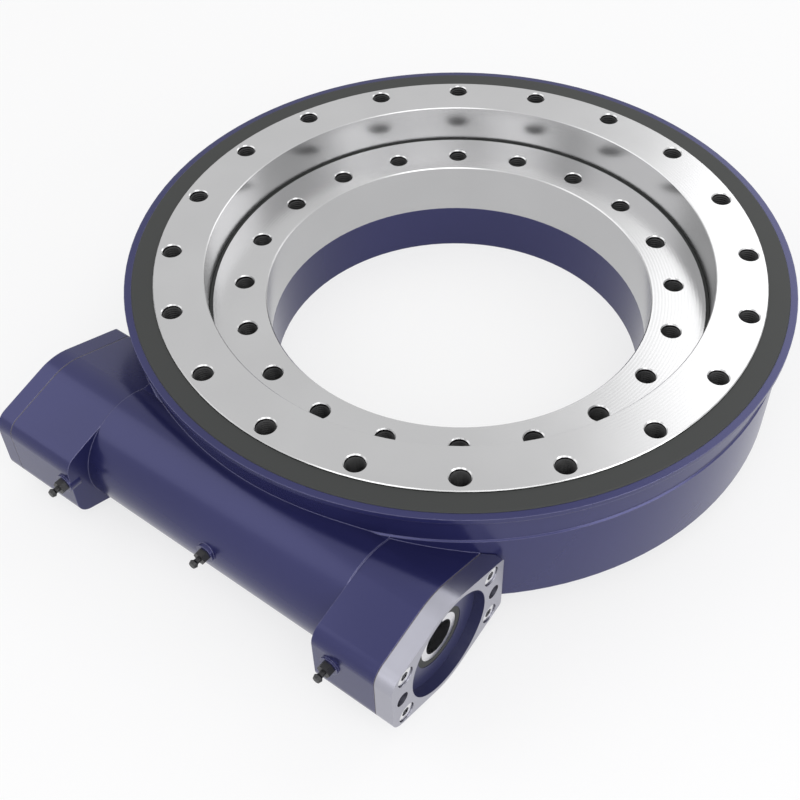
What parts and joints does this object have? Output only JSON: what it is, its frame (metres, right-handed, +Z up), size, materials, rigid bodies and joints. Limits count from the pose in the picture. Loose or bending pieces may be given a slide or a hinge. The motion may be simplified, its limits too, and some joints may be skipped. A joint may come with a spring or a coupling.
{
  "type": "slew drive",
  "caption": "Enclosed worm slew drive: a toothed outer ring turns on a ball race in a round housing, driven by a worm in a side tube.",
  "frame": {"origin": "slewing axis at the housing's bottom face", "axes": "+Z up along the slewing axis; worm axis along X on the -Y side, its motor end at +X"},
  "size_m": [0.4894, 0.5529, 0.112],
  "materials": {
    "blue_paint": "glossy dark blue paint on a smooth casting",
    "ring_steel": "fine turned steel",
    "flange_steel": "milled face",
    "bearing_steel": "ground and polished",
    "seal_rubber": "matt black rubber",
    "spacer_plastic": "plain moulded",
    "screw_steel": "bright socket screws",
    "black_oxide": "black oxide",
    "gasket": "fibre sheet"
  },
  "bodies": {
    "base": {"gear_housing": "blue_paint", "inner_ring": "ring_steel", "ball_fill_plug": "ring_steel", "plug_pin": "bearing_steel", "bearing_balls": "bearing_steel", "ball_spacers": "spacer_plastic", "top_seal": "seal_rubber", "upper_race_seal": "seal_rubber", "lower_race_seal": "seal_rubber", "input_flange": "flange_steel", "end_cover": "blue_paint", "input_gasket": "gasket", "cover_gasket": "gasket", "input_flange_screws": "screw_steel", "end_cover_screws": "screw_steel", "input_oil_seal": "seal_rubber", "input_bearing_cup": "bearing_steel", "rear_bearing_cup": "bearing_steel", "grease_nipple_rear": "black_oxide", "grease_nipple_middle": "black_oxide", "grease_nipple_input": "black_oxide", "floor_screws": "screw_steel", "drain_plug": "black_oxide"},
    "ring": {"outer_ring": "ring_steel"},
    "worm": {"worm_shaft": "bearing_steel", "bearing_lock_nut": "black_oxide", "input_bearing_cone": "bearing_steel", "input_bearing_rollers": "bearing_steel", "input_bearing_cage": "black_oxide", "rear_bearing_cone": "bearing_steel", "rear_bearing_rollers": "bearing_steel", "rear_bearing_cage": "black_oxide"}
  },
  "joints": [
    {"name": "ring_spin", "type": "hinge", "parent": "base", "child": "ring", "pos_m": [0, 0, 0], "axis": [0, 0, 1], "continuous": true},
    {"name": "worm_spin", "type": "hinge", "parent": "base", "child": "worm", "pos_m": [0, -0.2375, 0.0435], "axis": [1, 0, 0], "continuous": true}
  ],
  "couplings": [
    {"joint": "worm_spin", "follows": "ring_spin", "ratio": -102}
  ]
}
